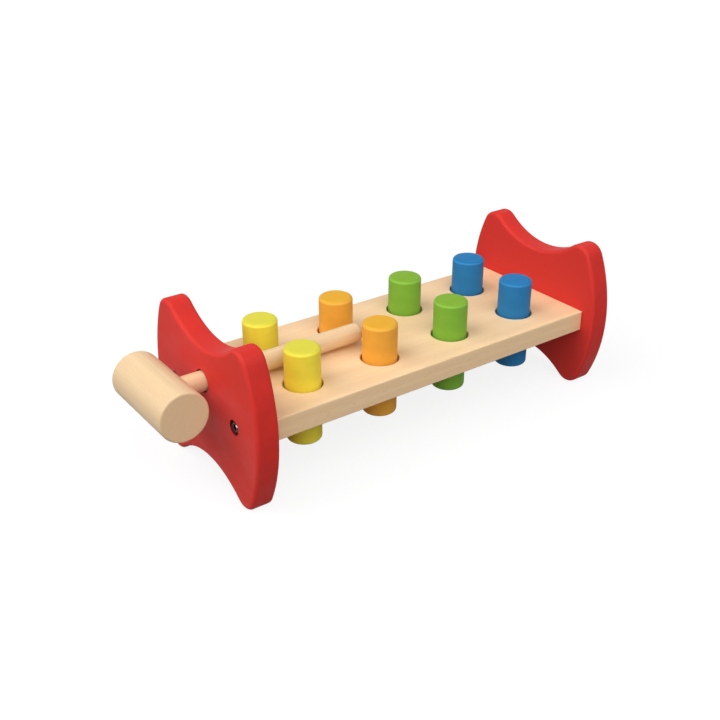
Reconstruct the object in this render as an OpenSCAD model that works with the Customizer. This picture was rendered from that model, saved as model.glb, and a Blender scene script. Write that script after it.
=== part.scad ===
// Peg pounding bench: a board with eight pegs, two shaped end panels and a wooden hammer.
// Millimetres. X runs along the bench from the hammer's end to the plain end, Y runs from the front
// row of pegs to the back row and Z is up. The origin is on the floor, at the middle of the whole
// length and width with the hammer in place.

/* [Board] */
// Length of the board, between the two end panels
board_l = 281.5; // [270:0.5:310]
// Width of the board
board_w = 115.4; // [108:0.1:124]
// Thickness of the board
board_t = 16; // [14:0.5:20]
// How far the middle of the board's thickness lies below the middle of the end panels
board_drop = 0.45; // [-3:0.05:3]
// Radius of the board's rounded edges
board_edge_r = 1; // [0.5:0.25:3]

/* [Pegs] */
// Diameter of a peg
peg_d = 25; // [22:0.5:27]
// Length of a peg
peg_l = 69.75; // [62:0.25:72]
// How far a peg stands above the board at rest
peg_up = 27.5; // [20:0.1:32]
// Radius of the rounded edge at both ends of a peg
peg_edge_r = 2.5; // [1:0.25:4]
// Distance between the columns of pegs, along the board
col_pitch = 64.5; // [58:0.5:68]
// Distance between the two rows of pegs, across the board
row_pitch = 54; // [48:0.5:58]
// Gap between a peg and the wall of its hole
hole_gap = 1.3; // [0.6:0.1:1.5]
// Radius of the softened rim of a peg hole
hole_rim_r = 0.7; // [0.3:0.1:1.2]

/* [Grip rings] */
// Thickness of the rubber cord of a grip ring
ring_cord_d = 3; // [2.5:0.1:4]
// Slack between a ring and its groove, and between a ring and its peg
ring_slack = 0.05; // [0.02:0.01:0.1]

/* [End panels] */
// Height of an end panel, from the feet to the horns
panel_h = 115; // [108:1:130]
// Width of an end panel at its middle
panel_w = 138; // [130:1:150]
// Thickness of an end panel
panel_t = 17; // [14:0.5:20]
// Height of an end panel on its centre line, between the two hollows
waist_h = 84; // [76:1:90]
// Radius of the bowed sides
side_r = 120; // [100:1:150]
// Radius of the four tips
tip_r = 12; // [9:0.25:13]
// Width of the flat on each tip, where the bench stands
foot_w = 7; // [4:0.5:9]
// Radius of the rounded edges round both faces
panel_edge_r = 2.75; // [1.5:0.25:4]

/* [Hammer] */
// Diameter of the hammer's head
head_d = 34.5; // [28:0.5:40]
// Length of the hammer's head
head_l = 70; // [60:1:80]
// How far the head's middle lies in front of the handle
head_off = 1.4; // [0:0.1:3]
// Radius of the head's two rounded edges
head_edge_r = 1.5; // [1:0.25:4]
// Diameter of the handle
handle_d = 14; // [11:0.5:16]
// Length of the handle, with the stretch inside the head
handle_l = 164; // [140:1:180]
// Radius of the rounded edge at the handle's free end
handle_edge_r = 3; // [1:0.25:5]
// Depth of the blind socket in the head
socket_depth = 24; // [18:0.5:26]
// Glue line between the handle and its socket
glue_gap = 0.05; // [0.02:0.01:0.1]
// Gap under the handle, above the board
handle_rise = 2.1; // [1.5:0.1:6]
// Gap between the handle and the wall of its hole in the panel
handle_gap = 0.85; // [0.4:0.05:1.2]
// Radius of the softened rim of the handle's hole
handle_rim_r = 0.5; // [0.3:0.1:2]
// Gap between the head and the panel at rest
head_standoff = 13.75; // [6:0.25:20]

/* [Screws] */
// Distance between the two screws of a panel
screw_pitch = 81; // [70:1:88]
// How far the screws lie above the middle of the end panels
screw_rise = 0.8; // [-2:0.1:2]
// Diameter of a screw's shank
screw_d = 5; // [4:0.25:6]
// Length of a screw under its head
screw_l = 32; // [26:1:34]
// Length of a screw's point
screw_point_l = 4; // [2:0.5:6]
// Diameter of a screw's head
screw_head_d = 8.5; // [8:0.25:9.5]
// Height of a screw's head
screw_head_h = 5; // [3.5:0.25:6]
// Radius of the rounded edge of a screw's head
screw_head_edge_r = 1.5; // [0.3:0.1:1.6]
// Width across the flats of a screw's hexagonal socket
hex_af = 4; // [3:0.5:5]
// Depth of a screw's hexagonal socket
hex_depth = 2.5; // [1.5:0.25:3]
// Depth of the hole that a screw's head sits in
counterbore_depth = 5.75; // [5.5:0.25:9]
// Gap round a screw's head in its counterbore
counterbore_gap = 1; // [0.25:0.05:1.5]
// Gap round a screw's shank in the wood
shank_gap = 0.05; // [0.02:0.01:0.1]

/* [Hidden] */
$fn = 96;

// Paint, wood, rubber and metal
wood_colour = "#e8c598";
head_colour = "#efcfa0";
red_colour = "#d23a33";
rubber_colour = "#2b2b2b";
steel_colour = "#3c3a38";

// Columns of pegs, from the hammer's end
peg_colours = ["#e6c432", "#ea9a36", "#78a832", "#2f74ac"];

// Heights above the floor
panel_mid_z = panel_h / 2;
board_mid_z = panel_mid_z - board_drop;
board_top_z = board_mid_z + board_t / 2;
peg_low_z = board_top_z + peg_up - peg_l;
handle_z = board_top_z + handle_rise + handle_d / 2;
screw_z = panel_mid_z + screw_rise;

// Distances along X from the middle of the bench, and where that middle lies in the whole object
panel_outer_x = board_l / 2 + panel_t;
screw_seat_x = panel_outer_x - counterbore_depth;
head_x = -panel_outer_x - head_standoff - head_d / 2;
handle_start_x = head_x + head_d / 2 - socket_depth;
bench_x = (head_standoff + head_d) / 2;

// Holes that are cut to fit what goes into them
hole_r = peg_d / 2 + hole_gap;
ring_r = peg_d / 2 + ring_slack + ring_cord_d / 2;
groove_r = ring_cord_d / 2 + ring_slack;
handle_hole_r = handle_d / 2 + handle_gap;
socket_r = handle_d / 2 + glue_gap;
counterbore_r = screw_head_d / 2 + counterbore_gap;
shank_hole_r = screw_d / 2 + shank_gap;
pilot_depth = screw_l - (panel_t - counterbore_depth) + shank_gap;
screw_tip_d = 0.2 * screw_d;

// End panel: centres of its side arcs, tips and hollows, from the panel's middle. A tip touches the
// side arc and the hollow beside it, so the outline runs on without a corner.
foot_sag = tip_r - sqrt(pow(tip_r, 2) - pow(foot_w / 2, 2));
side_y = panel_w / 2 - side_r;
tip_z = panel_h / 2 + foot_sag - tip_r;
tip_y = side_y + sqrt(pow(side_r - tip_r, 2) - pow(tip_z, 2));
tip_over_waist = tip_z - waist_h / 2;
hollow_r = (pow(tip_y, 2) + pow(tip_over_waist, 2) - pow(tip_r, 2)) / (2 * (tip_r + tip_over_waist));
hollow_z = waist_h / 2 + hollow_r;
side_angle = atan2(tip_z, tip_y - side_y);
hollow_angle = atan2(tip_y, hollow_z - tip_z);

// Depth of the rounded rim round a panel, and how far the flat core keeps inside the outline
rim_depth = 1.6 * tip_r;
core_inset = 0.7 * tip_r;
tip_inset = 0.02;
tip_edge_r = panel_edge_r - tip_inset;

// Place of a peg on the board: col counts from the hammer's end, side is -1 in front and 1 behind
function peg_x(col) = (col - (len(peg_colours) - 1) / 2) * col_pitch;
function peg_y(side) = side * row_pitch / 2;

// Colours a piece and moves it from the middle of the bench to its place in the whole object
module placed(colour) {
    color(colour) translate([bench_x, 0, 0]) children();
}

// Half section of a round bar of radius r and length l, standing on its axis, with rounded edges
module bar_section(r, l, low_edge_r, high_edge_r) {
    translate([0, low_edge_r]) square([r, l - low_edge_r - high_edge_r]);
    square([r - low_edge_r, l / 2]);
    translate([0, l / 2]) square([r - high_edge_r, l / 2]);
    if (low_edge_r > 0) translate([r - low_edge_r, low_edge_r]) circle(low_edge_r);
    if (high_edge_r > 0) translate([r - high_edge_r, l - high_edge_r]) circle(high_edge_r);
}

// Half section that flares a hole of radius r into a softened rim at height 0
module rim_flare_section(r, rim_r) {
    difference() {
        translate([r - rim_r, -rim_r]) square([2 * rim_r, rim_r + 1]);
        translate([r + rim_r, -rim_r]) circle(rim_r);
    }
}

// Cutter for a through hole of radius r from height -l to 0, with both rims softened
module soft_hole(r, l, rim_r) {
    rotate_extrude() {
        translate([0, -l - 1]) square([r, l + 2]);
        rim_flare_section(r, rim_r);
        translate([0, -l]) mirror([0, 1]) rim_flare_section(r, rim_r);
    }
}

// Rectangle with round corners, centred
module round_rectangle(w, h, r) {
    square([w - 2 * r, h], center = true);
    square([w, h - 2 * r], center = true);
    for (sx = [-1, 1], sy = [-1, 1])
        translate([sx * (w / 2 - r), sy * (h / 2 - r)]) circle(r);
}

// Box with all twelve edges rounded, centred
module round_box(l, w, t, r) {
    intersection() {
        rotate([90, 0, 90]) linear_extrude(l + 2, center = true) round_rectangle(w, t, r);
        rotate([90, 0, 0]) linear_extrude(w + 2, center = true) round_rectangle(l, t, r);
        linear_extrude(t + 2, center = true) round_rectangle(l, w, r);
    }
}

// Section of a panel's rim, from the outline at 0 inwards, with both corners rounded over
module rim_section(depth) {
    translate([-depth, 0]) square([depth - panel_edge_r, panel_t]);
    translate([-depth, panel_edge_r]) square([depth, panel_t - 2 * panel_edge_r]);
    translate([-panel_edge_r, panel_edge_r]) circle(panel_edge_r);
    translate([-panel_edge_r, panel_t - panel_edge_r]) circle(panel_edge_r);
}

// Rim along an arc of the outline that bows out
module bowed_rim(centre, r, depth, start, end) {
    translate([centre[0], centre[1], 0])
        rotate([0, 0, start])
            rotate_extrude(angle = end - start) translate([r, 0]) rim_section(depth);
}

// Rim along an arc of the outline that is hollow
module hollow_rim(centre, r, depth, start, end) {
    translate([centre[0], centre[1], 0])
        rotate([0, 0, start])
            rotate_extrude(angle = end - start) translate([r, 0]) mirror([1, 0]) rim_section(depth);
}

// Flat middle of a panel, kept inside its rounded rim
module panel_core() {
    linear_extrude(panel_t)
        difference() {
            intersection() {
                translate([side_y, 0]) circle(side_r - core_inset);
                translate([-side_y, 0]) circle(side_r - core_inset);
            }
            for (up = [-1, 1])
                translate([0, up * hollow_z]) circle(hollow_r + core_inset);
        }
}

// The four tips of a panel: rounded discs that lie a hair inside the rims they run into
module panel_tips() {
    for (side = [-1, 1], up = [-1, 1])
        translate([side * tip_y, up * tip_z, tip_inset])
            rotate_extrude()
                bar_section(tip_r - tip_inset, panel_t - 2 * tip_inset, tip_edge_r, tip_edge_r);
}

// Plain panel lying flat: its width along X, its height along Y and its thickness up from 0
module panel_blank() {
    difference() {
        union() {
            panel_core();
            bowed_rim([side_y, 0], side_r, rim_depth, -side_angle, side_angle);
            bowed_rim([-side_y, 0], side_r, rim_depth, 180 - side_angle, 180 + side_angle);
            hollow_rim([0, hollow_z], hollow_r, rim_depth, -90 - hollow_angle, -90 + hollow_angle);
            hollow_rim([0, -hollow_z], hollow_r, rim_depth, 90 - hollow_angle, 90 + hollow_angle);
            panel_tips();
        }
        for (up = [-1, 1])
            translate([-panel_w, up * (panel_h / 2 + tip_r) - tip_r, -1])
                cube([2 * panel_w, 2 * tip_r, panel_t + 2]);
    }
}

// Holes for a panel's two screws, with the outer face at height 0 and the inner face below it
module panel_screw_holes() {
    for (side = [-1, 1])
        translate([side * screw_pitch / 2, 0, 0]) {
            translate([0, 0, -counterbore_depth]) cylinder(r = counterbore_r, h = counterbore_depth + 1);
            translate([0, 0, -panel_t - 1]) cylinder(r = shank_hole_r, h = panel_t + 2);
        }
}

// Hole for a peg, from the board's top at height 0 downwards, with the groove of its grip ring
module peg_hole() {
    soft_hole(hole_r, board_t, hole_rim_r);
    translate([0, 0, -board_t / 2]) rotate_extrude() translate([ring_r, 0]) circle(groove_r);
}

// Pilot holes for the two screws in one end of the board: end is -1 or 1
module board_pilot_holes(end) {
    for (side = [-1, 1])
        translate([end * (board_l / 2 + 1), side * screw_pitch / 2, screw_z])
            rotate([0, -end * 90, 0]) cylinder(r = shank_hole_r, h = pilot_depth + 1);
}

// One screw: the underside of its head at height 0, its head above and its shank below
module screw() {
    difference() {
        rotate_extrude() bar_section(screw_head_d / 2, screw_head_h, 0, screw_head_edge_r);
        translate([0, 0, screw_head_h - hex_depth])
            cylinder(d = hex_af / cos(30), h = hex_depth + 1, $fn = 6);
    }
    translate([0, 0, screw_point_l - screw_l]) cylinder(d = screw_d, h = screw_l - screw_point_l);
    translate([0, 0, -screw_l]) cylinder(d1 = screw_tip_d, d2 = screw_d, h = screw_point_l);
}

// The two screws of a panel, heads outwards: end is -1 at the hammer's end and 1 at the plain end
module end_screws(end) {
    placed(steel_colour)
        for (side = [-1, 1])
            translate([end * screw_seat_x, side * screw_pitch / 2, screw_z])
                rotate([0, end * 90, 0]) screw();
}

// A peg at rest in its hole
module peg(col, side) {
    placed(peg_colours[col])
        translate([peg_x(col), peg_y(side), peg_low_z])
            rotate_extrude() bar_section(peg_d / 2, peg_l, peg_edge_r, peg_edge_r);
}

// A rubber ring in the groove of a peg hole
module grip_ring(col, side) {
    placed(rubber_colour)
        translate([peg_x(col), peg_y(side), board_mid_z])
            rotate_extrude() translate([ring_r, 0]) circle(d = ring_cord_d);
}

module bench_board() {
    placed(wood_colour)
        difference() {
            translate([0, 0, board_mid_z]) round_box(board_l, board_w, board_t, board_edge_r);
            for (col = [0 : len(peg_colours) - 1], side = [-1, 1])
                translate([peg_x(col), peg_y(side), board_top_z]) peg_hole();
            board_pilot_holes(-1);
            board_pilot_holes(1);
        }
}

module hammer_end_panel() {
    placed(red_colour)
        difference() {
            translate([-panel_outer_x, 0, panel_mid_z]) rotate([90, 0, 90]) panel_blank();
            translate([-panel_outer_x, 0, screw_z]) rotate([90, 0, -90]) panel_screw_holes();
            translate([-panel_outer_x, 0, handle_z])
                rotate([0, -90, 0]) soft_hole(handle_hole_r, panel_t, handle_rim_r);
        }
}

module plain_end_panel() {
    placed(red_colour)
        difference() {
            translate([board_l / 2, 0, panel_mid_z]) rotate([90, 0, 90]) panel_blank();
            translate([panel_outer_x, 0, screw_z]) rotate([90, 0, 90]) panel_screw_holes();
        }
}

module hammer_end_screws() { end_screws(-1); }
module plain_end_screws() { end_screws(1); }

module yellow_peg_front() { peg(0, -1); }
module yellow_peg_back() { peg(0, 1); }
module orange_peg_front() { peg(1, -1); }
module orange_peg_back() { peg(1, 1); }
module green_peg_front() { peg(2, -1); }
module green_peg_back() { peg(2, 1); }
module blue_peg_front() { peg(3, -1); }
module blue_peg_back() { peg(3, 1); }

module yellow_grip_ring_front() { grip_ring(0, -1); }
module yellow_grip_ring_back() { grip_ring(0, 1); }
module orange_grip_ring_front() { grip_ring(1, -1); }
module orange_grip_ring_back() { grip_ring(1, 1); }
module green_grip_ring_front() { grip_ring(2, -1); }
module green_grip_ring_back() { grip_ring(2, 1); }
module blue_grip_ring_front() { grip_ring(3, -1); }
module blue_grip_ring_back() { grip_ring(3, 1); }

module hammer_head() {
    placed(head_colour)
        difference() {
            translate([head_x, head_l / 2 - head_off, handle_z])
                rotate([90, 0, 0]) rotate_extrude() bar_section(head_d / 2, head_l, head_edge_r, head_edge_r);
            translate([handle_start_x, 0, handle_z])
                rotate([0, 90, 0]) cylinder(r = socket_r, h = socket_depth + 1);
        }
}

module hammer_handle() {
    placed(head_colour)
        translate([handle_start_x, 0, handle_z])
            rotate([0, 90, 0]) rotate_extrude() bar_section(handle_d / 2, handle_l, 0, handle_edge_r);
}

bench_board();
hammer_end_panel();
plain_end_panel();
hammer_end_screws();
plain_end_screws();
yellow_peg_front();
yellow_peg_back();
orange_peg_front();
orange_peg_back();
green_peg_front();
green_peg_back();
blue_peg_front();
blue_peg_back();
yellow_grip_ring_front();
yellow_grip_ring_back();
orange_grip_ring_front();
orange_grip_ring_back();
green_grip_ring_front();
green_grip_ring_back();
blue_grip_ring_front();
blue_grip_ring_back();
hammer_head();
hammer_handle();
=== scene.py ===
import math

import bmesh
import bpy
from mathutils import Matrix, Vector


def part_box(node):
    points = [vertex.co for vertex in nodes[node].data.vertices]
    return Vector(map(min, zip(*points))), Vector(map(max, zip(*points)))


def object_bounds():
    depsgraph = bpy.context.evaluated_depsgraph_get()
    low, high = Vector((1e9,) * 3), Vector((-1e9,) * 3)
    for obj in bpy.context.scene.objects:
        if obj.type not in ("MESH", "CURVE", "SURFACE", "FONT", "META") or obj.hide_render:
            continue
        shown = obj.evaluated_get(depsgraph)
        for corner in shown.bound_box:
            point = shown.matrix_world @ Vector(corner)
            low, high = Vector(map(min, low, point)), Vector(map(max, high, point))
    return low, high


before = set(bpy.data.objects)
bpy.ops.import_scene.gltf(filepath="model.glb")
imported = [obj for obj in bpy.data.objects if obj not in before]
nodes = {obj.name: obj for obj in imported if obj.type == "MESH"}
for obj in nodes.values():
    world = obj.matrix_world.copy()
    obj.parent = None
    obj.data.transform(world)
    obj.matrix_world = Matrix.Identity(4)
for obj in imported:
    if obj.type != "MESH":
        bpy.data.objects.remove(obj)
cad_low, cad_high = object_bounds()

# Colours are linear, lengths are in metres, and shares run from 0 to 1.

# Beech of the board and the hammer
BOARD_PALE = (0.94, 0.67, 0.4, 1)
BOARD_TAN = (0.785, 0.5, 0.28, 1)
HAMMER_PALE = (0.84, 0.622, 0.372, 1)
HAMMER_TAN = (0.71, 0.455, 0.265, 1)
FLECK_BROWN = (0.42, 0.22, 0.1, 1)
BOARD_RING_SPACING = 0.0065
HEAD_RING_SPACING = 0.0042
HANDLE_RING_SPACING = 0.0038
# Where the tree's pith lies, from the middle of each piece
BOARD_PITH = Vector((0, 0.012, -0.11))
HEAD_PITH = Vector((0.03, 0, -0.02))
HANDLE_PITH = Vector((0, 0.02, -0.015))
# Growth rings stretch along the trunk, and wander. At scale 1, rings lie one period apart.
RING_PERIOD = math.pi / 10
RING_STRETCH = (0.1, 1, 1)
RING_WANDER = 5.0
RING_WANDER_DETAIL = 2.0
RING_WANDER_SCALE = 0.6
# How strongly each mark of the wood shows
RING_SHARE = 0.24
END_RING_SHARE = 0.07
FIBRE_SHARE = 0.26
FLECK_SHARE = 0.18
END_GRAIN_SHARE = 0.25
BEECH_SPECULAR = 0.2
BEECH_ROUGHNESS = (0.42, 0.54)
BEECH_RELIEF = 0.25

# Red paint of the end panels, with a deeper red on the rims as painted shade for the strong light on their
# upward-facing tops
RED_PAINT = (0.72, 0.039, 0.029, 1)
RED_RIM_PAINTED_SHADE = (0.68, 0.03, 0.022, 1)
# Pegs: four colours along the board, each in the front and in the back row
PEG_ROWS = ("front", "back")
PEG_PAINT = {
    "yellow": (0.99, 0.82, 0.066, 1),
    "orange": (0.94, 0.43, 0.053, 1),
    "green": (0.225, 0.49, 0.046, 1),
    "blue": (0.023, 0.208, 0.485, 1),
}
# The pegs' top ends: a darker, hue-shifted copy of each colour, painted shade and sheen that stand in for
# the strong light on the tops
PEG_TOP_PAINTED_SHADE = {
    "yellow": (0.71, 0.65, 0.058, 1),
    "orange": (0.78, 0.4, 0.028, 1),
    "green": (0.205, 0.4, 0.026, 1),
    "blue": (0.009, 0.172, 0.42, 1),
}
PAINT_SPECULAR = 0.2
PAINT_ROUGHNESS = (0.54, 0.64)
PAINT_RELIEF = 0.2
# Thick paint is darker; the rounded edges take a lighter, hazier paint as a painted highlight
THICK_PAINT = 0.86
EDGE_HIGHLIGHT_GAIN = 1.25
EDGE_HIGHLIGHT_HAZE = 0.03
# How strongly the rounded edges take the painted highlight
PEG_EDGE_HIGHLIGHT = 0.5
PANEL_EDGE_HIGHLIGHT = 0.08

# Holes drilled through the end panels: their walls are painted a dark red, painted shade for the little
# light that gets into them
HOLE_PAINTED_SHADE = (0.16, 0.006, 0.005, 1)
SCREW_HALF_PITCH = 0.0405
SCREW_HOLE_RADIUS = 0.00525
HANDLE_HOLE_RADIUS = 0.00785
# A round mask fades between these shares of its radius
MASK_RIM = (1.02, 1.07)

# Depth of grain and ripple in the finished surfaces
RELIEF_DEPTH = 0.00008

# Rubber of the grip rings, with its bloom so many times paler
RUBBER_BLACK = (0.018, 0.018, 0.02, 1)
RUBBER_BLOOM = 3
RUBBER_ROUGHNESS = (0.6, 0.8)

# Screws
SCREW_BLACK = (0.035, 0.012, 0.01, 1)
# Bright metal for the rubbed edges, which is wear, and for the painted glint
SCREW_WEAR_AND_GLINT = (0.9, 0.87, 0.84, 1)
SCREW_RUB = 0.35
SCREW_ROUGHNESS = (0.22, 0.34)
# The painted glint on each screw's head, a bright round spot: how far its middle lies out from and above the
# head's, and its radius
GLINT_OUT = 0.0021
GLINT_UP = 0.0016
GLINT_RADIUS = 0.0009

# Cells of noise per metre along each axis; the grain runs along X
FIBRE_CELLS = (45, 1300, 1300)
FLECK_CELLS = (260, 1900, 1500)
TONE_CELLS = (30, 70, 70)
RIPPLE_CELLS = (420, 420, 420)
PAINTED_FIBRE_CELLS = (60, 1100, 1100)
BLOOM_CELLS = (900, 900, 900)
TURNING_CELLS = (4000, 500, 500)

# Viewing angle of the photograph, in degrees
VIEW_AZIMUTH = -35.97
VIEW_ELEVATION = 27.56
VIEW_DISTANCE = 0.72418
VIEW_TARGET = Vector((-0.01134, -0.00786, 0.05547))
LENS_MM = 50.2
SENSOR_MM = 36

# Studio: the way that each lamp shines from, and its watts
LAMPS = {
    "key": (Vector((-0.604, 0.22, 0.766)), 58),
    "front": (Vector((-0.579, -0.579, 0.574)), 32),
    "fill": (Vector((0, -0.63, 0.777)), 46),
}
LAMP_SIZE = 2.6
LAMP_DISTANCE = 3
SKY_STRENGTH = 0.16
FLOOR_HALF = 6
FLOOR_DROP = 0.0002
FLOOR_BOUNCE = 0.17
FLOOR_GREY = 0.17
FLOOR_WHITENING = 0.855
# The floor whitens fully between these distances from the bench's middle
FLOOR_WHITE_FROM = 0.35
FLOOR_WHITE_TO = 1.1


def add(tree, kind, values=None, **settings):
    """Adds a node, sets its properties, and links or sets its sockets by name or number."""
    made = tree.nodes.new(kind)
    for name, value in settings.items():
        setattr(made, name, value)
    for socket, value in (values or {}).items():
        if isinstance(value, bpy.types.NodeSocket):
            tree.links.new(value, made.inputs[socket])
        else:
            made.inputs[socket].default_value = value
    return made


def math_node(tree, operation, first, second=0.0):
    return add(tree, "ShaderNodeMath", {0: first, 1: second}, operation=operation).outputs[0]


def ramp(tree, value, low, high, to_low=0.0, to_high=1.0):
    """A smooth step of value from low to high."""
    sockets = {"Value": value, "From Min": low, "From Max": high, "To Min": to_low, "To Max": to_high}
    return add(tree, "ShaderNodeMapRange", sockets, interpolation_type="SMOOTHSTEP").outputs["Result"]


def mix_colour(tree, share, first, second):
    sockets = {0: share, 6: first, 7: second}
    return add(tree, "ShaderNodeMix", sockets, data_type="RGBA").outputs[2]


def stretched_noise(tree, vector, cells, detail):
    """Noise with so many cells per metre along each axis."""
    stretched = add(tree, "ShaderNodeVectorMath", {0: vector, 1: cells}, operation="MULTIPLY")
    sockets = {"Vector": stretched.outputs[0], "Scale": 1.0, "Detail": detail}
    return add(tree, "ShaderNodeTexNoise", sockets).outputs[0]


def object_place(tree):
    return tree.nodes.new("ShaderNodeTexCoord").outputs["Object"]


def new_group(name, inputs, outputs):
    """An empty shader node group with named sockets, and its input and output nodes."""
    tree = bpy.data.node_groups.new(name, "ShaderNodeTree")
    for socket, kind in inputs.items():
        tree.interface.new_socket(socket, in_out="INPUT", socket_type=kind)
    for socket in outputs:
        tree.interface.new_socket(socket, in_out="OUTPUT", socket_type="NodeSocketFloat")
    return tree, tree.nodes.new("NodeGroupInput"), tree.nodes.new("NodeGroupOutput")


def beech_grain_group():
    """Growth rings round the X axis, fibres along it and short dark flecks."""
    tree, given, result = new_group(
        "beech_grain",
        {"Vector": "NodeSocketVector", "Ring Spacing": "NodeSocketFloat"},
        ("Rings", "Fibres", "Flecks", "Height"),
    )
    vector = given.outputs["Vector"]
    slow = add(tree, "ShaderNodeVectorMath", {0: vector, 1: RING_STRETCH}, operation="MULTIPLY")
    sockets = {
        "Vector": slow.outputs[0],
        "Scale": math_node(tree, "DIVIDE", RING_PERIOD, given.outputs["Ring Spacing"]),
        "Distortion": RING_WANDER,
        "Detail": RING_WANDER_DETAIL,
        "Detail Scale": RING_WANDER_SCALE,
    }
    settings = {"wave_type": "RINGS", "rings_direction": "X", "wave_profile": "SIN"}
    rings = add(tree, "ShaderNodeTexWave", sockets, **settings)
    fibres = stretched_noise(tree, vector, FIBRE_CELLS, 3.0)
    dashes = stretched_noise(tree, vector, FLECK_CELLS, 1.0)
    flecks = ramp(tree, dashes, 0.66, 0.74)
    height = math_node(tree, "SUBTRACT", fibres, flecks)
    tree.links.new(rings.outputs["Fac"], result.inputs["Rings"])
    tree.links.new(fibres, result.inputs["Fibres"])
    tree.links.new(flecks, result.inputs["Flecks"])
    tree.links.new(height, result.inputs["Height"])
    return tree


def rounded_edge_group():
    """Face is 1 on faces square to Axis, and Edge is 1 where the surface turns away from them."""
    tree, given, result = new_group(
        "rounded_edge", {"Normal": "NodeSocketVector", "Axis": "NodeSocketVector"}, ("Edge", "Face")
    )
    sockets = {0: given.outputs["Normal"], 1: given.outputs["Axis"]}
    along = add(tree, "ShaderNodeVectorMath", sockets, operation="DOT_PRODUCT")
    square = math_node(tree, "ABSOLUTE", along.outputs["Value"])
    rising = ramp(tree, square, 0.1, 0.45)
    face = ramp(tree, square, 0.45, 0.97)
    tree.links.new(math_node(tree, "SUBTRACT", rising, face), result.inputs["Edge"])
    tree.links.new(face, result.inputs["Face"])
    return tree


def paint_film_group():
    """Uneven tone of brushed paint, and the fine ripple and wood fibres that show in its surface."""
    tree, given, result = new_group("paint_film", {"Vector": "NodeSocketVector"}, ("Tone", "Height"))
    vector = given.outputs["Vector"]
    tone = stretched_noise(tree, vector, TONE_CELLS, 4.0)
    ripple = stretched_noise(tree, vector, RIPPLE_CELLS, 2.0)
    fibres = stretched_noise(tree, vector, PAINTED_FIBRE_CELLS, 2.0)
    height = math_node(tree, "ADD", ripple, math_node(tree, "MULTIPLY", fibres, 0.5))
    tree.links.new(ramp(tree, tone, 0.25, 0.75), result.inputs["Tone"])
    tree.links.new(height, result.inputs["Height"])
    return tree


BEECH_GRAIN = beech_grain_group()
ROUNDED_EDGE = rounded_edge_group()
PAINT_FILM = paint_film_group()


def bare_tree(owner, output_kind):
    """The emptied node tree of a material or world, and its output node."""
    owner.use_nodes = True
    tree = owner.node_tree
    tree.nodes.clear()
    return tree, tree.nodes.new(output_kind)


def new_material(name):
    """A material with a bare Principled shader, its tree, and that shader."""
    material = bpy.data.materials.new(name)
    tree, output = bare_tree(material, "ShaderNodeOutputMaterial")
    shader = tree.nodes.new("ShaderNodeBsdfPrincipled")
    tree.links.new(shader.outputs["BSDF"], output.inputs["Surface"])
    return material, tree, shader


def grain_vector(tree, turn, pith):
    """Object coordinates turned so that the grain runs along X, with the tree's pith on the X axis."""
    centred = add(tree, "ShaderNodeMapping", {"Vector": object_place(tree), "Location": -pith})
    turned = add(tree, "ShaderNodeMapping", {"Vector": centred.outputs[0], "Rotation": (0, 0, turn)})
    return turned.outputs[0]


def edge_masks(tree, axis):
    """The Edge and Face masks of a piece whose end faces lie square to axis."""
    normal = tree.nodes.new("ShaderNodeNewGeometry").outputs["Normal"]
    return add(tree, "ShaderNodeGroup", {"Normal": normal, "Axis": axis}, node_tree=ROUNDED_EDGE).outputs


def round_mask(tree, place, middle, radius):
    """1 inside a round along X, and 0 outside it; it marks the painted shade of drilled holes and the
    painted glint on the screws.
    """
    across = add(tree, "ShaderNodeVectorMath", {0: place, 1: (0, 1, 1)}, operation="MULTIPLY").outputs[0]
    axis = (0, middle.y, middle.z)
    away = add(tree, "ShaderNodeVectorMath", {0: across, 1: axis}, operation="DISTANCE").outputs["Value"]
    return ramp(tree, away, MASK_RIM[0] * radius, MASK_RIM[1] * radius, 1, 0)


def relief(tree, height, strength):
    sockets = {"Height": height, "Strength": strength, "Distance": RELIEF_DEPTH}
    return add(tree, "ShaderNodeBump", sockets).outputs["Normal"]


def lacquered_beech(name, pale, tan, turn, pith, ring_spacing, end_axis):
    """Pale beech under satin lacquer. Faces square to end_axis show darker end grain."""
    material, tree, shader = new_material(name)
    sockets = {"Vector": grain_vector(tree, turn, pith), "Ring Spacing": ring_spacing}
    grain = add(tree, "ShaderNodeGroup", sockets, node_tree=BEECH_GRAIN).outputs
    edge = edge_masks(tree, end_axis)
    ring_share = ramp(tree, edge["Face"], 0, 1, RING_SHARE, END_RING_SHARE)
    ringed = mix_colour(tree, math_node(tree, "MULTIPLY", grain["Rings"], ring_share), pale, tan)
    fibred = mix_colour(tree, ramp(tree, grain["Fibres"], 0.35, 0.75, 0, FIBRE_SHARE), ringed, tan)
    fleck_share = math_node(tree, "MULTIPLY", grain["Flecks"], FLECK_SHARE)
    flecked = mix_colour(tree, fleck_share, fibred, FLECK_BROWN)
    ended = mix_colour(tree, math_node(tree, "MULTIPLY", edge["Face"], END_GRAIN_SHARE), flecked, tan)
    tree.links.new(ended, shader.inputs["Base Color"])
    shader.inputs["Specular IOR Level"].default_value = BEECH_SPECULAR
    tree.links.new(ramp(tree, grain["Fibres"], 0.2, 0.8, *BEECH_ROUGHNESS), shader.inputs["Roughness"])
    tree.links.new(relief(tree, grain["Height"], BEECH_RELIEF), shader.inputs["Normal"])
    return material


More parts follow.
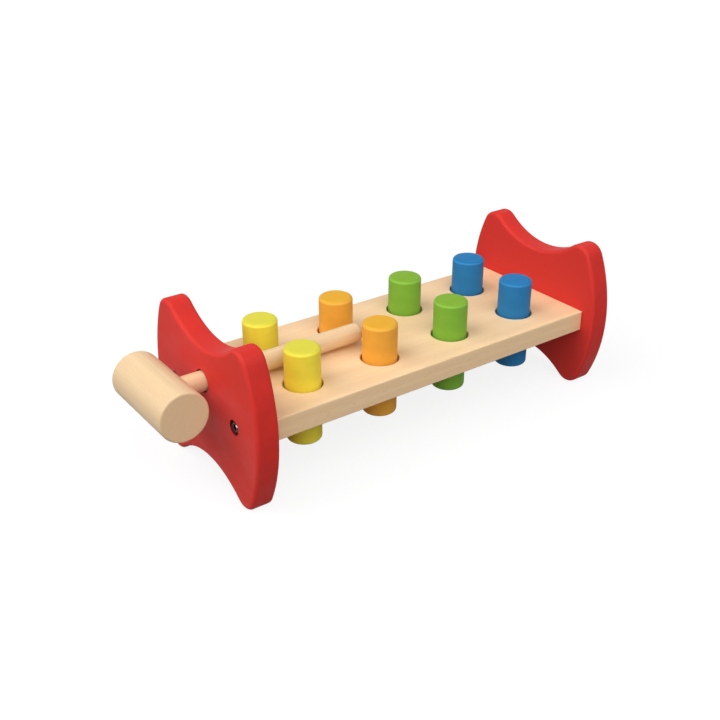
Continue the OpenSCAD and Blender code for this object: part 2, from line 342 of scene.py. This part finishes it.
def satin_paint(name, colour, end_colour, turn, pith, end_axis, edge_highlight, shaded_holes=()):
    """Satin paint over sanded wood: lighter and hazier on the rounded edges as a painted highlight,
    end_colour on the end faces, and painted shade darkening the walls of drilled holes.
    """
    material, tree, shader = new_material(name)
    vector = grain_vector(tree, turn, pith)
    film = add(tree, "ShaderNodeGroup", {"Vector": vector}, node_tree=PAINT_FILM).outputs
    edge = edge_masks(tree, end_axis)
    thick = [THICK_PAINT * c for c in colour[:3]] + [1]
    highlit_edge = [min(1, EDGE_HIGHLIGHT_GAIN * c + EDGE_HIGHLIGHT_HAZE) for c in colour[:3]] + [1]
    toned = mix_colour(tree, film["Tone"], thick, colour)
    # Painted highlight: the rounded edges are mixed towards a lighter, hazier paint
    edged = mix_colour(tree, math_node(tree, "MULTIPLY", edge["Edge"], edge_highlight), toned, highlit_edge)
    painted = mix_colour(tree, edge["Face"], edged, end_colour)
    place = object_place(tree)
    # Painted shade: the walls of each drilled hole are darkened to a dark red
    for middle, radius in shaded_holes:
        painted = mix_colour(tree, round_mask(tree, place, middle, radius), painted, HOLE_PAINTED_SHADE)
    tree.links.new(painted, shader.inputs["Base Color"])
    shader.inputs["Specular IOR Level"].default_value = PAINT_SPECULAR
    tree.links.new(ramp(tree, film["Tone"], 0, 1, *PAINT_ROUGHNESS), shader.inputs["Roughness"])
    tree.links.new(relief(tree, film["Height"], PAINT_RELIEF), shader.inputs["Normal"])
    return material


def grip_rubber():
    """Matt black rubber with a faint bloom."""
    material, tree, shader = new_material("grip_rubber")
    bloom = stretched_noise(tree, object_place(tree), BLOOM_CELLS, 3.0)
    bloomed = [RUBBER_BLOOM * c for c in RUBBER_BLACK[:3]] + [1]
    dusted = mix_colour(tree, ramp(tree, bloom, 0.4, 0.8), RUBBER_BLACK, bloomed)
    tree.links.new(dusted, shader.inputs["Base Color"])
    tree.links.new(ramp(tree, bloom, 0.2, 0.8, *RUBBER_ROUGHNESS), shader.inputs["Roughness"])
    return material


def blackened_steel(screws_middle):
    """Blackened steel with fine turning marks, and a painted glint, a bright round spot, on each head."""
    material, tree, shader = new_material("blackened_steel")
    place = object_place(tree)
    marks = stretched_noise(tree, place, TURNING_CELLS, 2.0)
    edge = edge_masks(tree, (1, 0, 0))
    rubbed = math_node(tree, "MULTIPLY", edge["Edge"], ramp(tree, marks, 0.3, 0.6, 0, SCREW_RUB))
    # The rubbed edges are wear; the round spot is a painted glint
    mirrored = add(tree, "ShaderNodeVectorMath", {0: place}, operation="ABSOLUTE").outputs[0]
    glint_middle = Vector((0, SCREW_HALF_PITCH + GLINT_OUT, screws_middle.z + GLINT_UP))
    wear_and_glint = math_node(tree, "MAXIMUM", rubbed, round_mask(tree, mirrored, glint_middle, GLINT_RADIUS))
    tree.links.new(mix_colour(tree, wear_and_glint, SCREW_BLACK, SCREW_WEAR_AND_GLINT), shader.inputs["Base Color"])
    tree.links.new(ramp(tree, marks, 0.3, 0.7, *SCREW_ROUGHNESS), shader.inputs["Roughness"])
    shader.inputs["Metallic"].default_value = 1
    return material


def finish_node(name, material):
    """Gives a CAD node its finish."""
    for material_slot in nodes[name].material_slots:
        material_slot.material = material


def box_middle(name):
    low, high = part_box(name)
    return (low + high) / 2


def finish_bench():
    """Beech board with its grain along X, red end panels with theirs along Y, and their screws."""
    pith = box_middle("bench_board") + BOARD_PITH
    board = lacquered_beech("board_beech", BOARD_PALE, BOARD_TAN, 0, pith, BOARD_RING_SPACING, (1, 0, 0))
    finish_node("bench_board", board)
    screws = box_middle("hammer_end_screws")
    to_screw = Vector((0, SCREW_HALF_PITCH, 0))
    screw_holes = [(screws + side * to_screw, SCREW_HOLE_RADIUS) for side in (-1, 1)]
    handle_hole = (box_middle("hammer_handle"), HANDLE_HOLE_RADIUS)
    # The screw holes, and on the hammer end the handle's hole, get the painted shade on their walls
    for end, shaded_holes in (("hammer_end", screw_holes + [handle_hole]), ("plain_end", screw_holes)):
        panel = end + "_panel"
        # The rims take the deeper red of painted shade, the faces the red itself
        paint = satin_paint(
            "red_paint_" + end, RED_RIM_PAINTED_SHADE, RED_PAINT, math.pi / 2, box_middle(panel), (1, 0, 0),
            PANEL_EDGE_HIGHLIGHT, shaded_holes,
        )
        finish_node(panel, paint)
    steel = blackened_steel(screws)
    finish_node("hammer_end_screws", steel)
    finish_node("plain_end_screws", steel)


def finish_pegs():
    """Painted pegs and the rubber ring round each of them."""
    rubber = grip_rubber()
    for colour, side_paint in PEG_PAINT.items():
        for row in PEG_ROWS:
            peg = f"{colour}_peg_{row}"
            # The tops take the darker painted copy of the colour, painted shade for the light that falls on
            # them
            paint = satin_paint(
                f"{colour}_paint_{row}", side_paint, PEG_TOP_PAINTED_SHADE[colour], 0, box_middle(peg), (0, 0, 1),
                PEG_EDGE_HIGHLIGHT,
            )
            finish_node(peg, paint)
            finish_node(f"{colour}_grip_ring_{row}", rubber)


def finish_hammer():
    """Turned beech head with its grain along Y, and a dowel with its grain along X."""
    tones = (HAMMER_PALE, HAMMER_TAN)
    pith = box_middle("hammer_head") + HEAD_PITH
    head = lacquered_beech("head_beech", *tones, -math.pi / 2, pith, HEAD_RING_SPACING, (0, 1, 0))
    finish_node("hammer_head", head)
    pith = box_middle("hammer_handle") + HANDLE_PITH
    handle = lacquered_beech("handle_beech", *tones, 0, pith, HANDLE_RING_SPACING, (1, 0, 0))
    finish_node("hammer_handle", handle)


def seen_directly(tree):
    """1 for camera, glossy and transmission rays, and 0 for the light that falls on the object."""
    path = tree.nodes.new("ShaderNodeLightPath").outputs
    glossy_too = math_node(tree, "MAXIMUM", path["Is Camera Ray"], path["Is Glossy Ray"])
    return math_node(tree, "MAXIMUM", glossy_too, path["Is Transmission Ray"])


def pale_floor():
    """A wide floor that looks white and keeps the object's shadow."""
    shape = bmesh.new()
    bmesh.ops.create_grid(shape, x_segments=1, y_segments=1, size=FLOOR_HALF)
    bmesh.ops.translate(shape, verts=shape.verts, vec=(0, 0, cad_low.z - FLOOR_DROP))
    mesh = bpy.data.meshes.new("floor")
    shape.to_mesh(mesh)
    shape.free()
    floor = bpy.data.objects.new("floor", mesh)
    bpy.context.scene.collection.objects.link(floor)
    material = bpy.data.materials.new("floor_white")
    tree, output = bare_tree(material, "ShaderNodeOutputMaterial")
    seen = seen_directly(tree)
    tone = ramp(tree, seen, 0, 1, FLOOR_BOUNCE, FLOOR_GREY)
    grey = add(tree, "ShaderNodeBsdfDiffuse", {"Color": tone})
    away = add(tree, "ShaderNodeVectorMath", {0: object_place(tree)}, operation="LENGTH").outputs["Value"]
    whitening = ramp(tree, away, FLOOR_WHITE_FROM, FLOOR_WHITE_TO, FLOOR_WHITENING, 1)
    glow = add(tree, "ShaderNodeEmission", {"Strength": math_node(tree, "MULTIPLY", seen, whitening)})
    both = add(tree, "ShaderNodeAddShader", {0: grey.outputs[0], 1: glow.outputs[0]})
    tree.links.new(both.outputs[0], output.inputs["Surface"])
    mesh.materials.append(material)


def white_surroundings():
    """An even sky that lights softly and looks white."""
    world = bpy.data.worlds.new("studio")
    bpy.context.scene.world = world
    tree, output = bare_tree(world, "ShaderNodeOutputWorld")
    strength = ramp(tree, seen_directly(tree), 0, 1, SKY_STRENGTH, 1)
    sky = add(tree, "ShaderNodeBackground", {"Color": (1, 1, 1, 1), "Strength": strength})
    tree.links.new(sky.outputs[0], output.inputs["Surface"])


def wide_lamp(name, from_way, watts):
    """A square lamp that faces the bench from a way."""
    lamp = bpy.data.lights.new(name, "AREA")
    lamp.shape = "SQUARE"
    lamp.size = LAMP_SIZE
    lamp.energy = watts
    holder = bpy.data.objects.new(name, lamp)
    holder.location = VIEW_TARGET + from_way.normalized() * LAMP_DISTANCE
    holder.rotation_euler = from_way.to_track_quat("Z", "Y").to_euler()
    bpy.context.scene.collection.objects.link(holder)


def photo_camera():
    """The camera at the photograph's viewing angle."""
    lens = bpy.data.cameras.new("camera")
    lens.lens = LENS_MM
    lens.sensor_width = SENSOR_MM
    camera = bpy.data.objects.new("camera", lens)
    azimuth = math.radians(VIEW_AZIMUTH)
    elevation = math.radians(VIEW_ELEVATION)
    level = math.cos(elevation)
    back = Vector((math.sin(azimuth) * level, -math.cos(azimuth) * level, math.sin(elevation)))
    camera.location = VIEW_TARGET + back * VIEW_DISTANCE
    camera.rotation_euler = (-back).to_track_quat("-Z", "Y").to_euler()
    bpy.context.scene.collection.objects.link(camera)
    bpy.context.scene.camera = camera


finish_bench()
finish_pegs()
finish_hammer()
pale_floor()
white_surroundings()
for lamp_name, (lamp_way, lamp_watts) in LAMPS.items():
    wide_lamp(lamp_name, lamp_way, lamp_watts)
photo_camera()
bpy.context.scene.view_settings.view_transform = "Standard"
